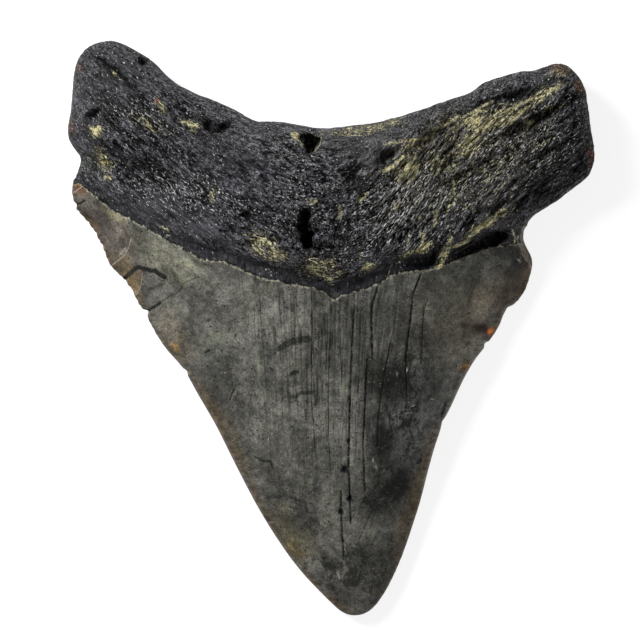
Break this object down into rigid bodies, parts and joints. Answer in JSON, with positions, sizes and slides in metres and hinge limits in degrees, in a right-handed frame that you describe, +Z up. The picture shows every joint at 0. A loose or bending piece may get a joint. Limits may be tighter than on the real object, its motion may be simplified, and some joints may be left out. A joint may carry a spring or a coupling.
{
  "type": "megalodon tooth",
  "caption": "Large fossil shark tooth with a broad triangular crown, a dark band above the enamel and a two-lobed root, lying on its flat face.",
  "frame": {"origin": "on the surface that the tooth lies on, under the middle of its box", "axes": "+Z up through the tooth's thickness to its convex inner (lingual) face, +Y from the tip to the root, +X to the right seen from above"},
  "size_m": [0.1053, 0.1148, 0.0256],
  "materials": {
    "fossil": "satin grey enamel, matt pitted root"
  },
  "bodies": {
    "root": {"tooth": "fossil"}
  },
  "joints": []
}
